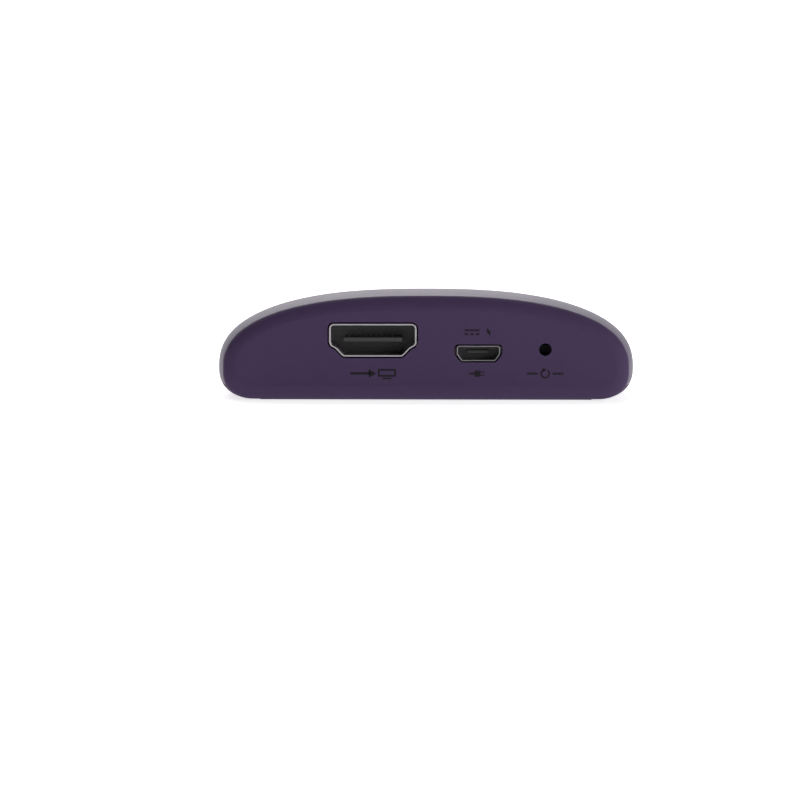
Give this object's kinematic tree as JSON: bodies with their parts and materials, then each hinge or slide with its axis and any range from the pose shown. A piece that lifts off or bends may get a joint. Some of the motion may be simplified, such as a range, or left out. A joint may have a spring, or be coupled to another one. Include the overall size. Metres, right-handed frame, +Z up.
{
  "type": "streaming media player",
  "caption": "Small arched set-top media player: a glossy cover over a matte base with a video socket, a micro power socket and a reset pinhole in its flat rear face.",
  "frame": {"origin": "middle of the underside, level with the table", "axes": "+Z up, +Y out of the rear port face, +X towards the video socket's side; the front looks along -Y"},
  "size_m": [0.073, 0.037, 0.0185],
  "materials": {
    "cover_plastic": "moulded deep purple, satin gloss",
    "base_plastic": "moulded deep purple, fine matte texture",
    "smoked_plastic": "infrared-clear smoked acrylic, polished",
    "board_laminate": "green solder mask over glass laminate",
    "chip_resin": "moulded black epoxy",
    "socket_resin": "black glass-filled nylon",
    "nickel_shell": "nickel-plated pressed steel",
    "shield_steel": "tin-plated pressed steel",
    "spreader_aluminium": "pressed sheet",
    "screw_steel": "black zinc",
    "spring_bronze": "stamped phosphor bronze",
    "pad_rubber": "soft silicone gap filler",
    "ferrite": "moulded ferrite",
    "capacitor_ceramic": "sintered ceramic",
    "plunger_resin": "black nylon",
    "receiver_resin": "dark infrared-clear epoxy",
    "led_body": "white polyamide with a clear lens"
  },
  "bodies": {
    "player": {"base_shell": "base_plastic", "top_cover": "cover_plastic", "ir_window": "smoked_plastic", "main_board": "board_laminate", "board_screw_1": "screw_steel", "board_screw_2": "screw_steel", "board_screw_3": "screw_steel", "board_screw_4": "screw_steel", "hdmi_shell": "nickel_shell", "hdmi_insulator": "socket_resin", "usb_shell": "nickel_shell", "usb_insulator": "socket_resin", "reset_switch_housing": "socket_resin", "reset_switch_cover": "shield_steel", "reset_dome": "spring_bronze", "soc_chip": "chip_resin", "memory_chip": "chip_resin", "soc_shield_frame": "shield_steel", "soc_shield_lid": "shield_steel", "soc_thermal_pad": "pad_rubber", "spreader_thermal_pad": "pad_rubber", "heat_spreader": "spreader_aluminium", "wifi_shield": "shield_steel", "wifi_chip": "chip_resin", "wifi_crystal": "shield_steel", "antenna_left": "spring_bronze", "antenna_right": "spring_bronze", "power_chip": "chip_resin", "core_inductor": "ferrite", "memory_inductor": "ferrite", "input_capacitor": "capacitor_ceramic", "bulk_capacitor_1": "capacitor_ceramic", "bulk_capacitor_2": "capacitor_ceramic", "bulk_capacitor_3": "capacitor_ceramic", "soc_crystal": "shield_steel", "flash_chip": "chip_resin", "ir_receiver": "receiver_resin", "ir_receiver_shield": "shield_steel", "status_led": "led_body"},
    "reset_button": {"reset_plunger": "plunger_resin"}
  },
  "joints": [
    {"name": "reset_press", "type": "slide", "parent": "player", "child": "reset_button", "axis": [0, -1, 0], "range_m": [0, 0.00025], "stiffness_N_per_m": 4000}
  ]
}
